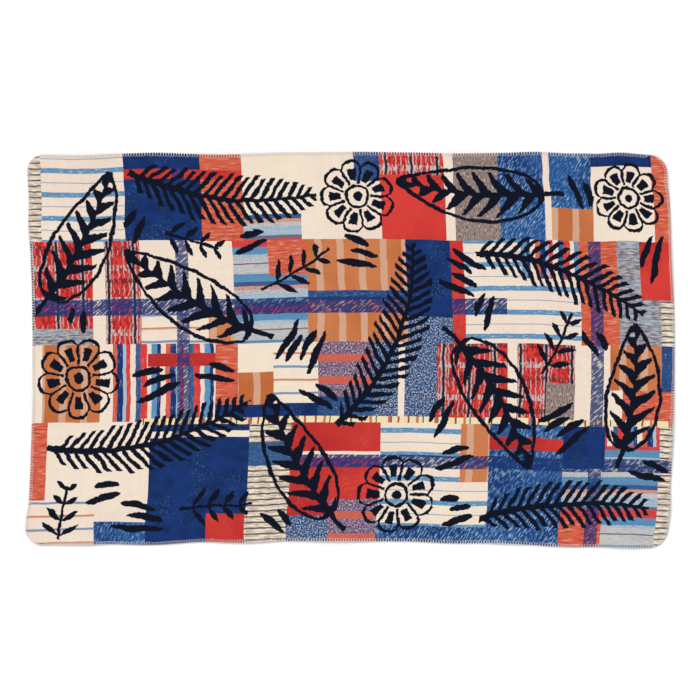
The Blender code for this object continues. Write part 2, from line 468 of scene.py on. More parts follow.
def lift(u, v):
    """How high the ripples raise the cloth's underside at a point of the flat cut."""
    inward = {
        "left": u + CLOTH_LENGTH / 2,
        "right": CLOTH_LENGTH / 2 - u,
        "bottom": v + CLOTH_WIDTH / 2,
        "top": CLOTH_WIDTH / 2 - v,
    }
    height = 0.0
    for edge, middle, half_length, _, rise, reach in RIPPLES:
        if rise and inward[edge] < reach:
            along = u if edge in ("top", "bottom") else v
            fade = 1 - inward[edge] / reach
            height += rise * swell(along - middle, half_length) * fade * fade
    return height


def laid(u, v):
    """Where a point of the flat cut comes to lie, before the sheet is centred."""
    bow = 1 - (2 * v / CLOTH_WIDTH) ** 2
    arch = 1 - (2 * u / CLOTH_LENGTH) ** 2
    slant = BOTTOM_SLANT * 2 * u / CLOTH_LENGTH
    left = LEFT_AT_CORNERS + LEFT_ARCH * bow - edge_shift("left", v)
    right = RIGHT_AT_CORNERS + RIGHT_ARCH * bow + edge_shift("right", v)
    bottom = BOTTOM_AT_CORNERS + BOTTOM_ARCH * arch - slant - edge_shift("bottom", u)
    top = TOP_AT_CORNERS + TOP_ARCH * arch + edge_shift("top", u)
    x = left + (u / CLOTH_LENGTH + 0.5) * (right - left)
    y = bottom + (v / CLOTH_WIDTH + 0.5) * (top - bottom)
    return x, y, lift(u, v)


def crease_height(u, v):
    """The faint creases' share of the face's height."""
    height = 0.0
    for start_u, start_v, end_u, end_v, half_width, rise in CREASES:
        run = Vector((end_u - start_u, end_v - start_v))
        there = Vector((u - start_u, v - start_v))
        share = min(max(there.dot(run) / run.length_squared, 0.0), 1.0)
        height += rise * (1 - share) * swell((there - run * share).length, half_width)
    return height


def lump_height(u, v, size):
    """Low unevenness of the pile: broad swells with smaller ones on them."""
    return size * sum(
        share * noise.noise(Vector((u * lumps, v * lumps, layer))) for lumps, layer, share in LUMPS
    )


def print_wobble(u, v, size):
    """How far the print strays from its true lines at a point of the cut."""
    strays = [noise.noise_vector(Vector((u * waves, v * waves, layer))) for waves, layer in WOBBLES]
    return sum(stray.x for stray in strays) * size, sum(stray.y for stray in strays) * size


def grid_lines(side, cell):
    """Places of the mesh lines along one side of the cut, closer together at the rim."""
    cells = round(side / cell)
    inner = [side * step / cells for step in range(1, cells)]
    far = [side - line for line in reversed(RIM_LINES)]
    return [line - side / 2 for line in (*RIM_LINES, *inner, *far)]


class SheetGrid:
    """The flat cut's mesh lines, and the sheet's face, back and rim worked out on them."""

    def __init__(self, sizes):
        noise.seed_set(NOISE_SEED)
        self.sizes = sizes
        self.us = grid_lines(CLOTH_LENGTH, sizes.cell)
        self.vs = grid_lines(CLOTH_WIDTH, sizes.cell)
        self.columns = len(self.us)
        self.rows = len(self.vs)

    def index(self, column, row):
        return row * self.columns + column

    def rim_ring(self):
        """Columns and rows of the rim's grid points, anticlockwise."""
        right, top = self.columns - 1, self.rows - 1
        ring = [(column, 0) for column in range(right)]
        ring += [(right, row) for row in range(top)]
        ring += [(column, top) for column in range(right, 0, -1)]
        ring += [(0, row) for row in range(top, 0, -1)]
        return ring

    def layer(self, face_up):
        """Points of the face or of the back, row by row."""
        return [self.point(u, v, face_up) for v in self.vs for u in self.us]

    def point(self, u, v, face_up):
        """Where a grid point of the square cut comes to lie on the face or on the back."""
        sizes = self.sizes
        depth = min(CLOTH_LENGTH / 2 - abs(u), CLOTH_WIDTH / 2 - abs(v))
        flat_u, flat_v = rounded_corner(u, v)
        if depth <= 0:
            flat_u -= math.copysign(RIM_INSET, u) if abs(u) >= CLOTH_LENGTH / 2 else 0
            flat_v -= math.copysign(RIM_INSET, v) if abs(v) >= CLOTH_WIDTH / 2 else 0
        stray_u, stray_v = print_wobble(u, v, sizes.wobble * eased(depth, 0, WOBBLE_FADE))
        x, y, z = laid(flat_u + stray_u, flat_v + stray_v)
        full = eased(depth, PRESS_START, PRESS_END)
        half = (sizes.pressed + (sizes.thickness - sizes.pressed) * full) / 2
        middle = half + sizes.rim_lift * (1 - full)
        if depth <= 0:
            half *= RIM_SHARE
        if not face_up:
            return x, y, z + middle - half
        pile = (lump_height(u, v, sizes.lumps) + crease_height(u, v)) * eased(depth, 0, PRESS_END)
        return x, y, z + middle + half + pile

    def rim_point(self, u, v):
        """The outline itself, at the middle of the pressed cloth's thickness."""
        x, y, z = laid(*rounded_corner(u, v))
        return x, y, z + self.sizes.rim_lift + self.sizes.pressed / 2

    def rim(self):
        """Points of the outline, one for each of the ring's."""
        return [self.rim_point(self.us[column], self.vs[row]) for column, row in self.rim_ring()]

    def outward(self, column, row):
        """Which way the cloth runs out over the rim at one of its grid points."""
        u, v = self.us[column], self.vs[row]
        share = 1 - 2 * self.sizes.cell / CLOTH_WIDTH
        inner = self.rim_point(u * share, v * share)
        if abs(u) < CLOTH_LENGTH / 2 - CORNER_RADIUS:
            inner = self.rim_point(u, v * share)
        elif abs(v) < CLOTH_WIDTH / 2 - CORNER_RADIUS:
            inner = self.rim_point(u - math.copysign(self.sizes.cell, u), v)
        return (Vector(self.rim_point(u, v)) - Vector(inner)).normalized()


def centring(points):
    """The shift that brings these points' middle to the middle of the model's sheet."""
    middle = [(min(p[axis] for p in points) + max(p[axis] for p in points)) / 2 for axis in (0, 1)]
    target = (SHEET_LOW + SHEET_HIGH) / 2
    return Vector((target.x - middle[0], target.y - middle[1], 0.0))


def link_object(context, name, data):
    """A new object in the scene, at the origin."""
    thing = bpy.data.objects.new(name, data)
    context.scene.collection.objects.link(thing)
    return thing


def fabric_at(u, v):
    """The fabric of the topmost block at a point of the cut. The rim takes the block beside it."""
    u = min(max(u, -CLOTH_LENGTH / 2), CLOTH_LENGTH / 2)
    v = min(max(v, -CLOTH_WIDTH / 2), CLOTH_WIDTH / 2)
    for fabric, left, right, bottom, top in reversed(PATCHES):
        if left <= u <= right and bottom <= v <= top:
            return fabric
    raise RuntimeError(f"No block of the print covers {u:.3f}, {v:.3f}")


def band_shade(u, v):
    """How deeply the dark cross bands shade each point of the cut."""
    shade = np.zeros(u.shape)
    for left, right, bottom, top, depth in CROSS_BANDS:
        inside = (u > left) & (u < right) & (v > bottom) & (v < top)
        shade = np.where(inside, np.maximum(shade, depth), shade)
    return shade


def motif_place(u, v, motif):
    """A point of the cut in a motif's own coordinates: along its bent spine, and off to its side."""
    _, middle_u, middle_v, turn, half_length, _, bend = motif
    angle = math.radians(turn)
    off_u, off_v = u - middle_u, v - middle_v
    ahead = off_u * math.cos(angle) + off_v * math.sin(angle)
    aside = off_v * math.cos(angle) - off_u * math.sin(angle)
    if bend == 0:
        return ahead, aside
    radius = 2 * half_length / math.radians(bend)
    side = math.copysign(1.0, radius)
    sweep = np.arctan2(ahead * side, (radius - aside) * side)
    return radius * sweep, radius - side * np.hypot(ahead, radius - aside)


def motif_owners(u, v):
    """For each point, the motif whose outline it lies deepest in, or -1 for bare cloth."""
    owner = np.full(u.shape, -1)
    nearest = np.ones(u.shape)
    for number, motif in enumerate(MOTIFS):
        kind, _, _, _, half_length, half_width, _ = motif
        room_along, room_aside = MOTIF_ROOM[kind]
        along, aside = motif_place(u, v, motif)
        share_along = np.abs(along) / (half_length + room_along)
        depth = np.maximum(share_along, np.abs(aside) / (half_width + room_aside))
        owner = np.where(depth < nearest, number, owner)
        nearest = np.minimum(nearest, depth)
    return owner


def add_node(tree, kind, inputs=(), **settings):
    """Adds a node with these settings, and feeds its inputs with plain values, Values or sockets."""
    node = tree.nodes.new(kind)
    for name, value in settings.items():
        setattr(node, name, value)
    for name, value in dict(inputs).items():
        if isinstance(value, Value):
            value = value.socket
        if isinstance(value, bpy.types.NodeSocket):
            tree.links.new(value, node.inputs[name])
        else:
            node.inputs[name].default_value = value
    return node


def add_socket(tree, label, kind, in_out="INPUT", **settings):
    """Gives a node group a named input or output."""
    socket = tree.interface.new_socket(label, in_out=in_out, socket_type="NodeSocket" + kind)
    for name, value in settings.items():
        setattr(socket, name, value)


ARITHMETIC = {"add": "ADD", "sub": "SUBTRACT", "mul": "MULTIPLY", "truediv": "DIVIDE"}
FUNCTIONS = {
    "floor": "FLOOR", "fract": "FRACT", "abs": "ABSOLUTE", "sin": "SINE", "sqrt": "SQRT",
    "min": "MINIMUM", "max": "MAXIMUM", "power": "POWER", "atan2": "ARCTAN2",
    "above": "GREATER_THAN", "near": "COMPARE",
}


def math_method(operation, reflected=False):
    """A method that adds this Math node. In a reflected one the Value is the right operand."""

    def method(self, *others):
        operands = (*others, self) if reflected else (self, *others)
        node = add_node(self.tree, "ShaderNodeMath", enumerate(operands), operation=operation)
        return Value(node.outputs[0])

    return method


def with_math(cls):
    """Gives a class the Math node's arithmetic and functions as its methods."""
    for sign, operation in ARITHMETIC.items():
        setattr(cls, f"__{sign}__", math_method(operation))
        setattr(cls, f"__r{sign}__", math_method(operation, reflected=True))
    for name, operation in FUNCTIONS.items():
        setattr(cls, name, math_method(operation))
    return cls


@with_math
class Value:
    """One number in a node tree."""

    def __init__(self, socket):
        self.socket = socket
        self.tree = socket.id_data

    def ramp(self, start, end):
        """0 up to start and 1 from end, with a smooth rise between. End may lie below start."""
        inputs = {"Value": self, "From Min": start, "From Max": end}
        node = add_node(self.tree, "ShaderNodeMapRange", inputs, interpolation_type="SMOOTHSTEP")
        return Value(node.outputs["Result"])


def split(vector):
    """The three numbers of a vector socket."""
    node = add_node(vector.id_data, "ShaderNodeSeparateXYZ", {"Vector": vector})
    return tuple(Value(output) for output in node.outputs)


def joined(tree, x, y, z=0.0):
    """A vector socket made of three numbers."""
    return add_node(tree, "ShaderNodeCombineXYZ", {"X": x, "Y": y, "Z": z}).outputs[0]


def uv_map(tree, name):
    """The two coordinates of one of the sheet's maps."""
    return split(add_node(tree, "ShaderNodeUVMap", uv_map=name).outputs["UV"])[:2]


def dimmed(tree, colour, shade):
    """A colour, plain or from a socket, made darker or lighter by a number."""
    inputs = {0: colour, "Scale": shade}
    return add_node(tree, "ShaderNodeVectorMath", inputs, operation="SCALE").outputs[0]


def bumped(tree, height, strength, distance):
    """The normal of a surface with this fine relief."""
    inputs = {"Height": height, "Strength": strength, "Distance": distance}
    return add_node(tree, "ShaderNodeBump", inputs).outputs["Normal"]


class Print:
    """A node tree with the cut's coordinates and the steps that the prints share."""

    def __init__(self, tree, dyes=None):
        self.tree = tree
        self.dyes = dyes
        self.u, self.v = uv_map(tree, "cut")

    def grain(self, along, across, layer, detail=2.0, turn=0):
        """Noise of about half, with this many grains a metre along and across. Turn is in degrees."""
        u, v = self.u, self.v
        if turn:
            cos, sin = math.cos(math.radians(turn)), math.sin(math.radians(turn))
            u, v = u * cos + v * sin, v * cos - u * sin
        place = joined(self.tree, u * along, v * across, layer)
        inputs = {"Vector": place, "Scale": 1.0, "Detail": detail}
        return Value(add_node(self.tree, "ShaderNodeTexNoise", inputs).outputs[0])

    def stray(self, along, across, layer, size):
        """How far a printed line strays to either side, in waves of this many a metre."""
        return (self.grain(along, across, layer) - 0.5) * size

    def colour(self, name):
        return (*getattr(self.dyes, name), 1.0)

    def over(self, ground, figure, share):
        """The ground with the figure over it where share is 1. Each is a dye's name or a socket."""
        inputs = {MIX_SHARE: share}
        for place, colour in ((MIX_GROUND, ground), (MIX_FIGURE, figure)):
            inputs[place] = self.colour(colour) if isinstance(colour, str) else colour
        return add_node(self.tree, "ShaderNodeMix", inputs, data_type="RGBA").outputs[MIX_RESULT]

    def bands(self, position, rows):
        """Flat bands of colour that follow each other and repeat. Rows: dye, width."""
        repeat = sum(width for _, width in rows)
        node = add_node(self.tree, "ShaderNodeValToRGB", {"Fac": (position / repeat).fract()})
        ramp = node.color_ramp
        ramp.interpolation = "CONSTANT"
        start = 0.0
        for number, (name, width) in enumerate(rows):
            has_stop = number < len(ramp.elements)
            stop = ramp.elements[number] if has_stop else ramp.elements.new(start / repeat)
            stop.position = start / repeat
            stop.color = self.colour(name)
            start += width
        return node.outputs[0]

    def line(self, position, pitch, width, offset=0.0):
        """1 on lines of this width that repeat at this pitch."""
        away = (((position + offset) / pitch).fract() - 0.5).abs() * pitch
        return away.ramp(width / 2 + LINE_SOFTNESS, width / 2 - LINE_SOFTNESS)


# The fabrics' prints. In each, figures in other dyes lie over a ground. A figure's grain comes up
# between the two levels of its ramp, and the last factor is how strongly it covers the ground.


def cream_print(p):
    return p.over("cream", "pale_cream", p.grain(3, 3, 2.0).ramp(0.35, 0.65))


def navy_print(p):
    worn = p.over("navy", "deep_navy", p.grain(26, 34, 4.0).ramp(0.36, 0.64))
    fleck = p.grain(150, 420, 1.0, turn=52).ramp(0.55, 0.68)
    return p.over(worn, "sky", fleck * p.grain(13, 13, 6.0).ramp(0.46, 0.66) * 0.42)


def blue_print(p):
    worn = p.over("denim", "navy", p.grain(7, 5, 2.0).ramp(0.35, 0.7))
    return p.over(worn, "pale_sky", p.grain(120, 330, 1.0, detail=3.0).ramp(0.55, 0.76) * 0.5)


def denim_print(p):
    worn = p.over("denim", "navy", p.grain(60, 380, 2.0).ramp(0.42, 0.62))
    return p.over(worn, "pale_sky", p.grain(90, 420, 7.0).ramp(0.58, 0.72) * 0.6)


def lined_print(p):
    place = p.v + p.stray(14, 14, 4.0, size=0.005)
    ground = p.over(cream_print(p), "blush", p.line(place, pitch=0.0290, width=0.0045) * 0.85)
    ground = p.over(ground, "sky", p.line(place, pitch=0.0580, width=0.0050, offset=0.0140) * 0.85)
    return p.over(ground, "ochre", p.line(place, pitch=0.0580, width=0.0028, offset=0.0420) * 0.9)


def red_print(p):
    worn = p.over("red", "deep_red", p.grain(4, 4, 6.0).ramp(0.36, 0.60) * 0.8)
    stroke = p.grain(60, 420, 3.0, turn=44).ramp(0.50, 0.66)
    return p.over(worn, "coral", stroke * p.grain(12, 12, 8.0).ramp(0.40, 0.66) * 0.6)


def slashed_print(p):
    stroke = p.grain(80, 370, 3.0, turn=58)
    dense = p.grain(9, 9, 7.0).ramp(0.36, 0.60)
    ground = p.over("cobalt", "navy", p.grain(6, 6, 2.0).ramp(0.40, 0.62) * 0.9)
    worn = p.over(ground, "sky", stroke.ramp(0.51, 0.58) * (0.35 + dense * 0.4))
    return p.over(worn, "pale_sky", stroke.ramp(0.56, 0.63) * (0.15 + dense * 0.6))


def check_print(p):
    stray = p.stray(7, 55, 1.0, size=0.007)
    curl = p.stray(24, 90, 3.0, size=0.012)
    broken = p.grain(300, 110, 5.0)
    ground = p.over("red", "deep_red", p.grain(150, 60, 7.0).ramp(0.44, 0.56))
    scribble = p.line(p.u + curl, pitch=0.0112, width=0.0022) * p.grain(16, 22, 2.0).ramp(0.44, 0.54)
    ground = p.over(ground, "silver", scribble * 0.75)
    pale = p.line(p.u + stray, pitch=0.056, width=0.0125) * broken.ramp(0.38, 0.50)
    ground = p.over(ground, "silver", pale * 0.85)
    dashes = p.line(p.v + stray, pitch=0.071, width=0.0130) * p.grain(260, 60, 9.0).ramp(0.49, 0.55)
    ground = p.over(ground, "silver", dashes * 0.9)
    shade = p.line(p.v + stray, pitch=0.071, width=0.0110, offset=0.030)
    ground = p.over(ground, "soot", shade * p.grain(280, 70, 4.0).ramp(0.47, 0.53) * 0.7)
    upright = p.line(p.u + stray, pitch=0.056, width=0.0056)
    return p.over(ground, "soot", upright * broken.ramp(0.28, 0.36))


def melange_print(p):
    row = p.grain(38, 230, 2.0, detail=3.0)
    ground = p.over("coral", "rust", row.ramp(0.47, 0.36) * 0.8)
    return p.over(ground, "blush", row.ramp(0.55, 0.66) * 0.85)


def marled_print(p):
    ground = p.bands(p.v + p.stray(26, 26, 3.0, size=0.0035), MARLED_ROWS)
    ground = p.over(ground, "slate", p.grain(60, 420, 8.0).ramp(0.50, 0.70) * 0.35)
    fleck = p.grain(360, 300, 5.0, turn=35).ramp(0.50, 0.64)
    return p.over(ground, "denim", fleck * p.grain(6, 60, 3.0).ramp(0.42, 0.60) * 0.5)


def ticking_print(p):
    place = p.v + p.stray(22, 22, 4.0, size=0.003)
    stripe = p.line(place, pitch=0.052, width=0.0110) * p.grain(90, 500, 3.0).ramp(0.25, 0.45)
    ground = p.over(cream_print(p), "sky", stripe)
    return p.over(ground, "sky", p.line(place, pitch=0.052, width=0.0020, offset=0.026) * 0.75)


def ochre_print(p):
    place = p.u + p.stray(8, 30, 2.0, size=0.006)
    ground = p.over("ochre", "amber", p.grain(5, 4, 3.0).ramp(0.42, 0.62) * 0.8)
    return p.over(ground, "pale_ochre", p.line(place, pitch=0.047, width=0.0150) * 0.9)


def tweed_print(p):
    fleck = p.grain(420, 130, 5.0, detail=3.0)
    ground = p.over("taupe", "soot", fleck.ramp(0.46, 0.34) * 0.7)
    return p.over(ground, "silver", fleck.ramp(0.55, 0.66) * 0.75)


def ribbed_print(p):
    place = p.v + p.stray(60, 20, 2.0, size=0.004)
    ground = p.over("pale_cream", "taupe", p.grain(50, 240, 4.0).ramp(0.38, 0.62) * 0.6)
    return p.over(ground, "soot", p.line(place, pitch=0.0125, width=0.0034) * 0.85)


def banded_print(p):
    return p.bands(p.u + p.stray(20, 60, 2.0, size=0.006), BANDED_ROWS)


def bars_print(p):
    ground = p.bands(p.u + p.stray(9, 50, 5.0, size=0.006), BARS_ROWS)
    return p.over(ground, "silver", p.grain(330, 60, 2.0).ramp(0.58, 0.72) * 0.4)


def speckled_print(p):
    fleck = p.grain(300, 300, 2.0, detail=3.0)
    ground = p.over("denim", "deep_navy", fleck.ramp(0.46, 0.38))
    return p.over(ground, "silver", fleck.ramp(0.52, 0.60) * 0.85)


def grey_print(p):
    row = p.grain(60, 300, 2.0, detail=3.0)
    ground = p.over("slate", "silver", row.ramp(0.38, 0.62) * 0.75)
    return p.over(ground, "pale_sky", p.grain(12, 40, 3.0).ramp(0.5, 0.7) * 0.5)


def heather_print(p):
    fleck = p.grain(330, 250, 4.0, detail=3.0)
    place = p.v + p.stray(10, 40, 2.0, size=0.005)
    ground = p.over("plum", "navy", fleck.ramp(0.46, 0.36) * 0.7)
    ground = p.over(ground, "silver", fleck.ramp(0.52, 0.62) * 0.8)
    return p.over(ground, "coral", p.line(place, pitch=0.049, width=0.0165) * 0.85)


def ivory_print(p):
    return p.over("ivory", "cream", p.grain(4, 4, 5.0).ramp(0.35, 0.65) * 0.5)


FACE_PRINTS = (
    cream_print, navy_print, blue_print, denim_print, lined_print, red_print, slashed_print,
    check_print, melange_print, marled_print, ticking_print, ochre_print, tweed_print,
    ribbed_print, banded_print, bars_print, speckled_print, grey_print, heather_print,
)
FABRICS = {recipe.__name__.removesuffix("_print"): recipe for recipe in FACE_PRINTS}

# The ink motifs. In each, s runs along the spine and t off to its side, and the result is a
# distance that is below 0 where there is ink. A stroke is the pen's width about its middle line.


def leaf(s, t, half_length, half_width, pen):
    """A broad leaf with a midrib, side veins and a stalk. The tip lies towards +s."""
    blade = half_length * 0.87
    middle = s - half_length * 0.13
    along = (middle / blade).max(-0.995).min(0.995)
    half = half_width * 2.55 * ((along + 1) / 2).power(0.55) * ((1 - along) / 2).power(0.9)
    slope = half / blade * (0.55 / (1.06 + along) - 0.9 / (1.03 - along))
    rim = (t.abs() - half) / (slope * slope + 1).sqrt()
    pitch = 0.038
    lead = (s - t.abs() * 0.8) / pitch + t.above(0) * 0.5
    reach = t.abs() / half.max(0.001)
    vein = (lead.fract() - 0.5).abs() * pitch * 0.78 - pen * (2.9 - reach * 2.5)
    vein = vein.max((reach - 0.84) * half)
    rib = t.abs() - pen * (1.2 - along * 0.6)
    ends = rim.max((0.88 - (along + 0.03).abs()) * blade)
    drawn = (rim.abs() - pen).min(vein.min(rib).max(rim)).min(ends)
    stalk = (t.abs() - pen * 1.3).max((s + half_length * 0.83).abs() - half_length * 0.16)
    return drawn.max(middle.abs() - blade * 0.99).min(stalk)


def fern(s, t, half_length, half_width, pen):
    """A frond: a spine with slanted strokes on both sides, shorter towards the tip."""
    pitch = 0.0205
    lead = (s - t.abs() * 0.75) / pitch + t.above(0) * 0.5
    root = (lead.floor() + 0.5 - t.above(0) * 0.5) * pitch
    along = (root / half_length).max(-0.999).min(0.999)
    reach = half_width * 1.75 * ((along + 1.1) / 2.1).power(0.5) * ((1 - along) / 2).power(0.62)
    reach = reach * (1 + 0.07 * (root * 190).sin())
    frond = ((lead.fract() - 0.5).abs() * pitch * 0.8 - pen * 1.12).max((t.abs() - reach) * 0.7)
    frond = frond.max((root.abs() - half_length * 0.97) * 9)
    spine = (t.abs() - pen * (1.3 - s / half_length * 0.5)).max(s.abs() - half_length)
    return frond.min(spine)


def rosette(s, t, half_length, half_width, pen):
    """A round flower of nine petals about a ringed eye."""
    petals = 9
    radius = (s * s + t * t).sqrt()
    part = ((t.atan2(s) * (petals / math.tau)).fract() - 0.5).abs() * 2
    arc = radius * (math.pi / petals)
    rim = (radius - half_width * (1 - 0.2 * part.power(3))).abs() - pen * 0.9
    gap = ((1 - part) * arc - pen * 0.75).max((radius - half_width * 0.62).abs() - half_width * 0.25)
    dash = part * arc - pen * 3.2 * radius / half_width
    dash = dash.max((radius - half_width * 0.63).abs() - half_width * 0.17)
    ring = (radius - half_width * 0.3).abs() - pen * 0.8
    return rim.min(gap).min(dash).min(ring).min(radius - half_width * 0.13)


def sprig(s, t, half_length, half_width, pen):
    """A thin stem with a few leaflets in pairs."""
    pitch = 0.034
    along = (s / half_length).max(-1).min(1)
    lead = (s - t.abs() * 0.7) / pitch
    off = ((lead.fract() - 0.5) * pitch).abs()
    body = t.abs() / (half_width / 2 * (1 - 0.35 * along)) - 1
    blade = (off - 0.0075 * (1 - body * body)) * 0.8
    blade = blade.max(((lead.floor() + 0.5) * pitch).abs() - half_length * 0.95)
    stem = (t.abs() - pen * 0.8).max(s.abs() - half_length)
    return blade.min(stem)


def dabs(s, t, half_length, half_width, pen):
    """A few curved brush dabs side by side, none of a length."""
    pitch = 0.0235
    row = ((t + half_width) / pitch).floor()
    bend = 0.006 * (s * 40 + row * 1.3).sin()
    reach = half_length * (0.80 + 0.20 * (row * 4.7 + 1).sin())
    x = (s - 0.012 * (row * 2.1).sin()) / reach
    across = (((t + half_width) / pitch).fract() * pitch - pitch / 2 - bend * 0.7).abs()
    return (across - pen * 2.0 * (1 - x * x).power(0.5) + 0.0005).max(t.abs() - half_width)


DRAWINGS = {"leaf": leaf, "fern": fern, "rosette": rosette, "sprig": sprig, "dabs": dabs}
KIND_NUMBERS = {kind: number for number, kind in enumerate(DRAWINGS, 1)}  # 0 is bare cloth
KIND_MARGIN = 0.5  # half a step tells one number from the next


def ink_group(sizes):
    """A node group that says how much ink lies on each point of the print."""
    tree = bpy.data.node_groups.new("ink drawing", "ShaderNodeTree")
    add_socket(tree, "Ink", "Float", in_out="OUTPUT")
    p = Print(tree)
    motif = add_node(tree, "ShaderNodeAttribute", attribute_name="motif")
    kind, half_length, half_width = split(motif.outputs["Vector"])
    s, t = uv_map(tree, "motif place")
    for waves, share in INK_TREMBLES:
        s = s + p.stray(waves, waves, 1.0, sizes.tremble * share)
        t = t + p.stray(waves, waves, 9.0, sizes.tremble * share)
    drawn = sum(
        kind.near(number, KIND_MARGIN) * DRAWINGS[name](s, t, half_length, half_width, sizes.pen)
        for name, number in KIND_NUMBERS.items()
    )
    drawn = drawn + kind.near(0, KIND_MARGIN) + p.stray(420, 420, 3.0, sizes.bleed)
    add_node(tree, "NodeGroupOutput", {"Ink": drawn.ramp(sizes.bleed / 2, -sizes.bleed / 2)})
    return tree


def nap_group():
    """A node group with the brushed pile's bump and its shade: a random mottle with painted shade in the
    pile's hollows, and painted shade along the rim under the stitch.
    """
    tree = bpy.data.node_groups.new("brushed nap", "ShaderNodeTree")
    add_socket(tree, "Shade", "Float", in_out="OUTPUT")
    add_socket(tree, "Normal", "Vector", in_out="OUTPUT")
    p = Print(tree)
    shade, height = 1.0, 0.0
    # Each layer makes the colour lighter where it raises the relief and darker where it lowers it:
    # painted shade in the pile's hollows, over a random mottle
    for along, across, layer, detail, turn, depth, relief in NAP:
        grain = p.grain(along, across, layer, detail, turn)
        shade = shade + (grain - 0.5) * depth
        height = height + grain * relief
    # Painted shade of the stitch along the rim, together with the crushed pile's own darker tone there
    inset = (CLOTH_LENGTH / 2 - p.u.abs()).min(CLOTH_WIDTH / 2 - p.v.abs())
    crush_and_painted_shade = inset.ramp(CRUSH_AND_SHADE_END, CRUSH_AND_SHADE_START) * CRUSH_AND_PAINTED_SHADE
    normal = bumped(tree, height, strength=0.8, distance=0.0014)
    add_node(tree, "NodeGroupOutput", {"Shade": shade * (1 - crush_and_painted_shade), "Normal": normal})
    return tree


def new_material(name, finish):
    """Adds a material with this finish, and returns it with its node tree and its shader."""
    material = bpy.data.materials.new(name)
    material.use_nodes = True
    shader = material.node_tree.nodes["Principled BSDF"]
    for place, value in finish.items():
        shader.inputs[place].default_value = value
    return material, material.node_tree, shader


def fleece_material(name, recipe, dyes, nap, ink=None):
    """A fleece with this print, its nap, and the cross bands and the ink drawing if it has ink."""
    material, tree, shader = new_material(name, FLEECE_FINISH)
    p = Print(tree, dyes)
    colour = recipe(p)
    if ink:
        woven = add_node(tree, "ShaderNodeAttribute", attribute_name="cross band")
        hatch = p.grain(60, 300, 6.0, turn=40).ramp(0.38, 0.46)
        threads = (HATCH_BASE + hatch * (1 - HATCH_BASE)) * Value(woven.outputs["Fac"])
        drawing = add_node(tree, "ShaderNodeGroup", node_tree=ink)
        colour = p.over(p.over(colour, "navy", threads), "ink", drawing.outputs["Ink"])
    pile = add_node(tree, "ShaderNodeGroup", node_tree=nap)
    # The nap's shade darkens the colour: a random mottle with painted shade in the pile's hollows and
    # under the stitch
    tree.links.new(dimmed(tree, colour, pile.outputs["Shade"]), shader.inputs["Base Color"])
    tree.links.new(pile.outputs["Normal"], shader.inputs["Normal"])
    return material


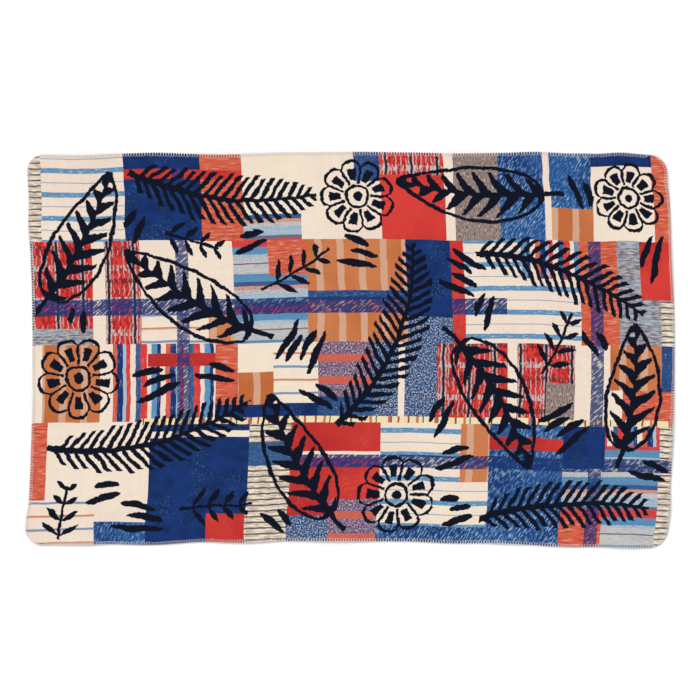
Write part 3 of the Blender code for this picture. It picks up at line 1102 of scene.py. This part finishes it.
class BLANKET_OT_fleece_sheet(bpy.types.Operator):
    """Build the printed fleece sheet where the model's sheet lies"""

    bl_idname = "blanket.fleece_sheet"
    bl_label = "Fleece sheet"

    def execute(self, context):
        scene = context.scene
        grid = SheetGrid(scene.blanket_sheet)
        sheet = self.sheet_object(context, grid)
        self.dye_fabrics(sheet.data, scene.blanket_dyes, scene.blanket_ink)
        self.paint(sheet.data, grid)
        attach(sheet, "root")
        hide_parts(SHEET_NODE)
        return {"FINISHED"}

    def sheet_object(self, context, grid):
        """The closed mesh: face, back, and a rim of two bands between them."""
        ring = grid.rim_ring()
        rim = grid.rim()
        points = grid.layer(True) + grid.layer(False) + rim
        shift = centring(rim)
        back = grid.columns * grid.rows
        edge = 2 * back
        faces = []
        for row in range(grid.rows - 1):
            for column in range(grid.columns - 1):
                corner = grid.index(column, row)
                above = corner + grid.columns
                faces.append((corner, corner + 1, above + 1, above))
        faces += [tuple(back + index for index in reversed(face)) for face in faces]
        for step in range(len(ring)):
            after = (step + 1) % len(ring)
            here, there = grid.index(*ring[step]), grid.index(*ring[after])
            faces.append((edge + step, edge + after, there, here))
            faces.append((back + here, back + there, edge + after, edge + step))
        mesh = bpy.data.meshes.new("fleece_sheet_printed")
        mesh.from_pydata([Vector(point) + shift for point in points], [], faces)
        mesh.shade_smooth()
        return link_object(context, "fleece_sheet_printed", mesh)

    def dye_fabrics(self, mesh, dyes, ink_sizes):
        """Gives the mesh a material for each fabric of the print, and the underside's last."""
        nap = nap_group()
        ink = ink_group(ink_sizes)
        for name, recipe in FABRICS.items():
            mesh.materials.append(fleece_material("fleece " + name, recipe, dyes, nap, ink))
        mesh.materials.append(fleece_material("fleece ivory", ivory_print, dyes, nap))

    def paint(self, mesh, grid):
        """Lays the cut's coordinates, the motifs' own and the fabrics over the mesh."""
        corners = self.corner_places(mesh, grid)
        middle_u, middle_v = corners.mean(axis=1).T
        is_back = self.back_faces(len(corners), grid)
        places, shapes = self.motif_values(corners, motif_owners(middle_u, middle_v))
        self.add_uv(mesh, "cut", corners)
        self.add_uv(mesh, "motif place", places)
        self.add_uv(mesh, "OFBake", self.bake_places(corners, is_back))
        motif = mesh.attributes.new("motif", "FLOAT_VECTOR", "FACE")
        motif.data.foreach_set("vector", shapes.ravel())
        woven = mesh.attributes.new("cross band", "FLOAT", "FACE")
        woven.data.foreach_set("value", band_shade(middle_u, middle_v))
        fabrics = list(FABRICS)
        slots = np.array([fabrics.index(fabric_at(u, v)) for u, v in zip(middle_u, middle_v)])
        slots[is_back] = len(fabrics)
        mesh.polygons.foreach_set("material_index", slots)
        mesh.update()

    def corner_places(self, mesh, grid):
        """The cut's coordinates at the four corners of each face."""
        flat = np.array([rounded_corner(u, v) for v in grid.vs for u in grid.us])
        rim = np.array([rounded_corner(grid.us[column], grid.vs[row]) for column, row in grid.rim_ring()])
        places = np.vstack([flat, flat, rim * (1 + 2 * PRINT_RIM_STEP / CUT_SIZE)])
        corners = np.empty(len(mesh.loops), dtype=np.int64)
        mesh.loops.foreach_get("vertex_index", corners)
        return places[corners].reshape(-1, 4, 2)

    def motif_values(self, corners, owner):
        """Each face's place in its own motif, and that motif's kind, half length and half width."""
        places = np.zeros(corners.shape)
        shapes = np.zeros((len(corners), 3))
        for number, motif in enumerate(MOTIFS):
            kind, _, _, _, half_length, half_width, _ = motif
            mine = owner == number
            place = motif_place(corners[mine][:, :, 0], corners[mine][:, :, 1], motif)
            places[mine] = np.stack(place, axis=2)
            shapes[mine] = (KIND_NUMBERS[kind], half_length, half_width)
        return places, shapes

    def back_faces(self, faces, grid):
        """Which faces belong to the back: its own, and every other one of the rim's."""
        cells = (grid.columns - 1) * (grid.rows - 1)
        number = np.arange(faces)
        on_rim = number >= 2 * cells
        return np.where(on_rim, (number - 2 * cells) % 2 == 1, number >= cells)

    def bake_places(self, corners, is_back):
        """The cut laid out twice in one square map: the face large, the back at half its scale."""
        face = (corners + CUT_SIZE / 2 + 2 * PRINT_RIM_STEP) * BAKE_SCALE
        back = face / 2 + (0, BACK_ROW)
        return BAKE_MARGIN + np.where(is_back[:, None, None], back, face)

    def add_uv(self, mesh, name, places):
        layer = mesh.uv_layers.new(name=name)
        layer.data.foreach_set("uv", places.ravel().astype(np.float32))


def overedge_tree():
    """Geometry nodes that sew an overedge stitch along a rim given as a closed run of edges."""
    tree = bpy.data.node_groups.new("overedge stitch", "GeometryNodeTree")
    add_socket(tree, "Rim", "Geometry")
    for label in ("Pitch", "Bite", "Thread radius", "Reach", "Half thickness"):
        add_socket(tree, label, "Float", subtype="DISTANCE")
    add_socket(tree, "Seed", "Int")
    add_socket(tree, "Thread", "Material")
    add_socket(tree, "Stitches", "Geometry", in_out="OUTPUT")
    given = tree.nodes.new("NodeGroupInput").outputs
    pitch, bite, radius = (Value(given[label]) for label in ("Pitch", "Bite", "Thread radius"))
    reach, half = Value(given["Reach"]), Value(given["Half thickness"])
    rim = add_node(tree, "GeometryNodeMeshToCurve", {"Mesh": given["Rim"]}).outputs[0]
    named = {"Name": "outward"}
    outward = add_node(tree, "GeometryNodeInputNamedAttribute", named, data_type="FLOAT_VECTOR")
    outward = outward.outputs["Attribute"]
    stitch = stitch_shape(tree, pitch, bite, radius, reach, half)
    sewn = stitch_row(tree, rim, outward, pitch, stitch, Value(given["Seed"]))
    whole = together(tree, sewn, purl_run(tree, rim, outward, pitch, radius, reach))
    real = add_node(tree, "GeometryNodeRealizeInstances", {"Geometry": whole}).outputs[0]
    smooth = add_node(tree, "GeometryNodeSetShadeSmooth", {"Geometry": real}).outputs[0]
    dyed = add_node(tree, "GeometryNodeSetMaterial", {"Geometry": smooth, "Material": given["Thread"]})
    add_node(tree, "NodeGroupOutput", {"Stitches": dyed.outputs[0]})
    return tree


def together(tree, *parts):
    """Several geometries as one."""
    whole = add_node(tree, "GeometryNodeJoinGeometry")
    for part in parts:
        tree.links.new(part, whole.inputs[0])
    return whole.outputs[0]


def resampled(tree, path, mode, **spacing):
    """A path with its points set anew, by their Count or by the Length between them."""
    return add_node(tree, "GeometryNodeResampleCurve", {"Curve": path, **spacing}, mode=mode).outputs[0]


def moved(tree, points, **where):
    """Points set to a Position, or moved by an Offset."""
    return add_node(tree, "GeometryNodeSetPosition", {"Geometry": points, **where}).outputs[0]


def swept(tree, path, radius, sides, taper=1.0):
    """A thread of this radius along a path, closed at its ends. Taper scales it from place to place."""
    circle = {"Resolution": sides, "Radius": radius}
    ring = add_node(tree, "GeometryNodeCurvePrimitiveCircle", circle, mode="RADIUS").outputs[0]
    inputs = {"Curve": path, "Profile Curve": ring, "Scale": taper, "Fill Caps": True}
    return add_node(tree, "GeometryNodeCurveToMesh", inputs).outputs[0]


def run_of(tree, count):
    """A straight run of points, and how far along it each one is, from -1 to 1."""
    line = add_node(tree, "GeometryNodeCurvePrimitiveLine").outputs[0]
    share = Value(add_node(tree, "GeometryNodeSplineParameter").outputs["Factor"])
    return resampled(tree, line, "COUNT", Count=count), share * 2 - 1


def stitch_shape(tree, pitch, bite, radius, reach, half):
    """One stitch at the rim: a thread hooked round the edge, and a dash where the needle goes in."""
    points, along = run_of(tree, HOOK_POINTS)
    size = along.abs()
    inward = (bite + reach) * size.power(1.35)
    onward = pitch * 0.5 * along.max(0)
    rise = 1 - (1 - size).power(3)
    up = (half + radius * 0.45) * rise * (1 - 0.5 * size.power(8)) * (1 - along.above(0) * 2)
    hook = moved(tree, points, Position=joined(tree, reach - inward, onward, up))
    points, along = run_of(tree, DASH_POINTS)
    onward = pitch * (0.5 + 0.25 * along)
    up = half + radius * (0.1 - 0.7 * along * along)
    dash = moved(tree, points, Position=joined(tree, 0 - bite, onward, up))
    hook = swept(tree, hook, radius, HOOK_SIDES, taper=1.35 - 0.95 * size)
    return together(tree, hook, swept(tree, dash, radius * DASH_WIDTH, DASH_SIDES))


def stitch_row(tree, rim, outward, pitch, stitch, seed):
    """The stitches in their places, each turned outwards and a little its own way."""
    tangent = add_node(tree, "GeometryNodeInputTangent").outputs[0]
    axes = {"Primary Axis": outward, "Secondary Axis": tangent}
    settings = {"primary_axis": "X", "secondary_axis": "Y"}
    facing = add_node(tree, "FunctionNodeAxesToRotation", axes, **settings).outputs[0]
    slant = random_number(tree, seed, -STITCH_SLANT, STITCH_SLANT)
    tension = add_node(tree, "ShaderNodeTexNoise", {"Scale": TENSION_WAVES, "Detail": 1.0})
    pull = (Value(tension.outputs[0]) - SLACK) * STITCH_PULL
    lean = split(outward)[0].abs() * END_LEAN
    euler = joined(tree, 0.0, 0.0, slant - pull.max(0) - lean)
    turn = {"Rotation": facing, "Rotate By": euler}
    turned = add_node(tree, "FunctionNodeRotateRotation", turn, rotation_space="LOCAL").outputs[0]
    row = {
        "Points": resampled(tree, rim, "LENGTH", Length=pitch),
        "Instance": stitch,
        "Rotation": turned,
        "Scale": joined(tree, random_number(tree, seed + 1, *STITCH_SIZES), 1.0, 1.0),
    }
    return add_node(tree, "GeometryNodeInstanceOnPoints", row).outputs[0]


def random_number(tree, seed, least, most):
    """A number of its own for each stitch."""
    limits = {"Min": least, "Max": most, "Seed": seed}
    return Value(add_node(tree, "FunctionNodeRandomValue", limits, data_type="FLOAT").outputs["Value"])


def purl_run(tree, rim, outward, pitch, radius, reach):
    """The thread that links the stitches along the cut edge, weaving up and down."""
    points = resampled(tree, rim, "LENGTH", Length=pitch / PURL_STEPS)
    number = Value(add_node(tree, "GeometryNodeInputIndex").outputs[0])
    weave = ((number * (math.tau / PURL_STEPS)).sin() - 0.5) * radius * 0.8
    placed = moved(tree, points, Offset=dimmed(tree, outward, reach))
    woven = moved(tree, placed, Offset=joined(tree, 0.0, 0.0, weave))
    return swept(tree, woven, radius * PURL_WIDTH, PURL_SIDES)


def thread_material(dyes):
    """Woolly pale thread, painted a little darker between its plies as shade in the grooves there."""
    material, tree, shader = new_material("woolly thread", FLEECE_FINISH)
    place = add_node(tree, "ShaderNodeTexCoord").outputs["Object"]
    plies = add_node(tree, "ShaderNodeTexNoise", {"Vector": place, "Scale": PLIES})
    plies = Value(plies.outputs[0])
    # Painted shade: the colour is darker where the plies' relief is lower, between them
    colour = dimmed(tree, tuple(dyes.thread), 0.84 + plies * 0.32)
    tree.links.new(colour, shader.inputs["Base Color"])
    normal = bumped(tree, plies, strength=0.4, distance=0.0003)
    tree.links.new(normal, shader.inputs["Normal"])
    return material


class BLANKET_OT_overedge_stitch(bpy.types.Operator):
    bl_idname = "blanket.overedge_stitch"
    bl_label = "Overedge stitch"

    def execute(self, context):
        sheet = bpy.data.objects.get("fleece_sheet_printed")
        if sheet is None:
            raise RuntimeError("Build the fleece sheet before its stitch")
        thread = self.sewn(context, SheetGrid(context.scene.blanket_sheet))
        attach(thread, "root")
        return {"FINISHED"}

    def sewn(self, context, grid):
        """The stitches as a plain mesh, sewn along a guide that is then removed."""
        scene = context.scene
        stitch = scene.blanket_stitch
        guide = self.rim_guide(context, grid)
        sewing = guide.modifiers.new("overedge", "NODES")
        sewing.node_group = overedge_tree()
        values = {
            "Pitch": stitch.pitch,
            "Bite": stitch.bite,
            "Thread radius": stitch.thread,
            "Reach": stitch.reach,
            "Half thickness": scene.blanket_sheet.pressed / 2,
            "Seed": stitch.seed,
            "Thread": thread_material(scene.blanket_dyes),
        }
        for socket in sewing.node_group.interface.items_tree:
            if socket.in_out == "INPUT" and socket.name in values:
                sewing[socket.identifier] = values[socket.name]
        depsgraph = context.evaluated_depsgraph_get()
        mesh = bpy.data.meshes.new_from_object(guide.evaluated_get(depsgraph))
        mesh.name = "overedge_thread"
        guide.modifiers.remove(sewing)
        bpy.data.objects.remove(guide)
        return link_object(context, "overedge_thread", mesh)

    def rim_guide(self, context, grid):
        """The sheet's rim as a closed run of edges that know which way is outwards."""
        ring = grid.rim_ring()
        rim = grid.rim()
        shift = centring(rim)
        mesh = bpy.data.meshes.new("rim guide")
        edges = [(step, (step + 1) % len(ring)) for step in range(len(ring))]
        mesh.from_pydata([Vector(point) + shift for point in rim], edges, [])
        outward = mesh.attributes.new("outward", "FLOAT_VECTOR", "POINT")
        ways = [grid.outward(column, row) for column, row in ring]
        outward.data.foreach_set("vector", np.array(ways).ravel())
        return link_object(context, "rim guide", mesh)


class BLANKET_OT_studio(bpy.types.Operator):
    """Lay the floor and set the lights and the camera"""

    bl_idname = "blanket.studio"
    bl_label = "Studio"

    def execute(self, context):
        studio = context.scene.blanket_studio
        context.scene.view_settings.view_transform = "Standard"
        self.floor(context, studio)
        self.sky(context, studio)
        self.key_light(context, studio)
        self.camera(context, studio)
        return {"FINISHED"}

    def floor(self, context, studio):
        """A matt square just under the plane that the blanket lies on."""
        half = studio.floor_side / 2
        square = ((-half, -half), (half, -half), (half, half), (-half, half))
        mesh = bpy.data.meshes.new("floor")
        mesh.from_pydata([(x, y, -FLOOR_DROP) for x, y in square], [], [(0, 1, 2, 3)])
        shade = studio.floor_shade
        finish = {"Base Color": (shade, shade, shade, 1.0), "Roughness": 1.0, "Specular IOR Level": 0.0}
        material, _, _ = new_material("studio floor", finish)
        mesh.materials.append(material)
        floor = link_object(context, "floor", mesh)

    def sky(self, context, studio):
        """Even white light all round, brighter low down."""
        world = bpy.data.worlds.new("studio")
        world.use_nodes = True
        tree = world.node_tree
        background = tree.nodes["Background"]
        background.inputs["Color"].default_value = (1.0, 1.0, 1.0, 1.0)
        height = split(add_node(tree, "ShaderNodeTexCoord").outputs["Generated"])[2]
        strength = studio.fill + height.ramp(GLOW_TOP, GLOW_FULL) * (1.0 - studio.fill)
        tree.links.new(strength.socket, background.inputs["Strength"])
        context.scene.world = world

    def key_light(self, context, studio):
        """A large soft light from the upper left."""
        sun = bpy.data.lights.new("key light", "SUN")
        sun.energy = studio.key
        sun.angle = KEY_ANGLE
        key = link_object(context, "key light", sun)
        key.rotation_euler = KEY_FROM.to_track_quat("Z", "Y").to_euler()

    def camera(self, context, studio):
        """A long lens that looks straight down on the blanket's middle."""
        lens = bpy.data.cameras.new("camera")
        lens.lens = LENS
        lens.sensor_width = SENSOR
        camera = link_object(context, "camera", lens)
        camera.location = (*CAMERA_OVER, studio.camera_height)
        context.scene.camera = camera


class BLANKET_PT_panel(bpy.types.Panel):
    """Sizes, colours and steps of the blanket"""

    bl_label = "Blanket"
    bl_idname = "BLANKET_PT_panel"
    bl_space_type = "VIEW_3D"
    bl_region_type = "UI"
    bl_category = "Blanket"

    def draw(self, context):
        for step in STEPS:
            self.layout.operator(step.bl_idname)
        for name, group in GROUPS.items():
            box = self.layout.box()
            box.label(text=group.__doc__)
            settings = getattr(context.scene, name)
            for size in group.__annotations__:
                box.prop(settings, size)


GROUPS = {
    "blanket_sheet": BlanketSheetSizes,
    "blanket_ink": BlanketInkSizes,
    "blanket_stitch": BlanketStitchSizes,
    "blanket_dyes": BlanketDyes,
    "blanket_studio": BlanketStudio,
}
STEPS = (BLANKET_OT_studio, BLANKET_OT_fleece_sheet, BLANKET_OT_overedge_stitch)
CLASSES = (*GROUPS.values(), *STEPS, BLANKET_PT_panel)


def register():
    for cls in CLASSES:
        bpy.utils.register_class(cls)
    for name, group in GROUPS.items():
        setattr(bpy.types.Scene, name, bpy.props.PointerProperty(type=group))


def unregister():
    for name in GROUPS:
        delattr(bpy.types.Scene, name)
    for cls in reversed(CLASSES):
        bpy.utils.unregister_class(cls)


def main():
    register()
    bpy.ops.blanket.studio()
    bpy.ops.blanket.fleece_sheet()
    bpy.ops.blanket.overedge_stitch()


if __name__ == "__main__":
    main()
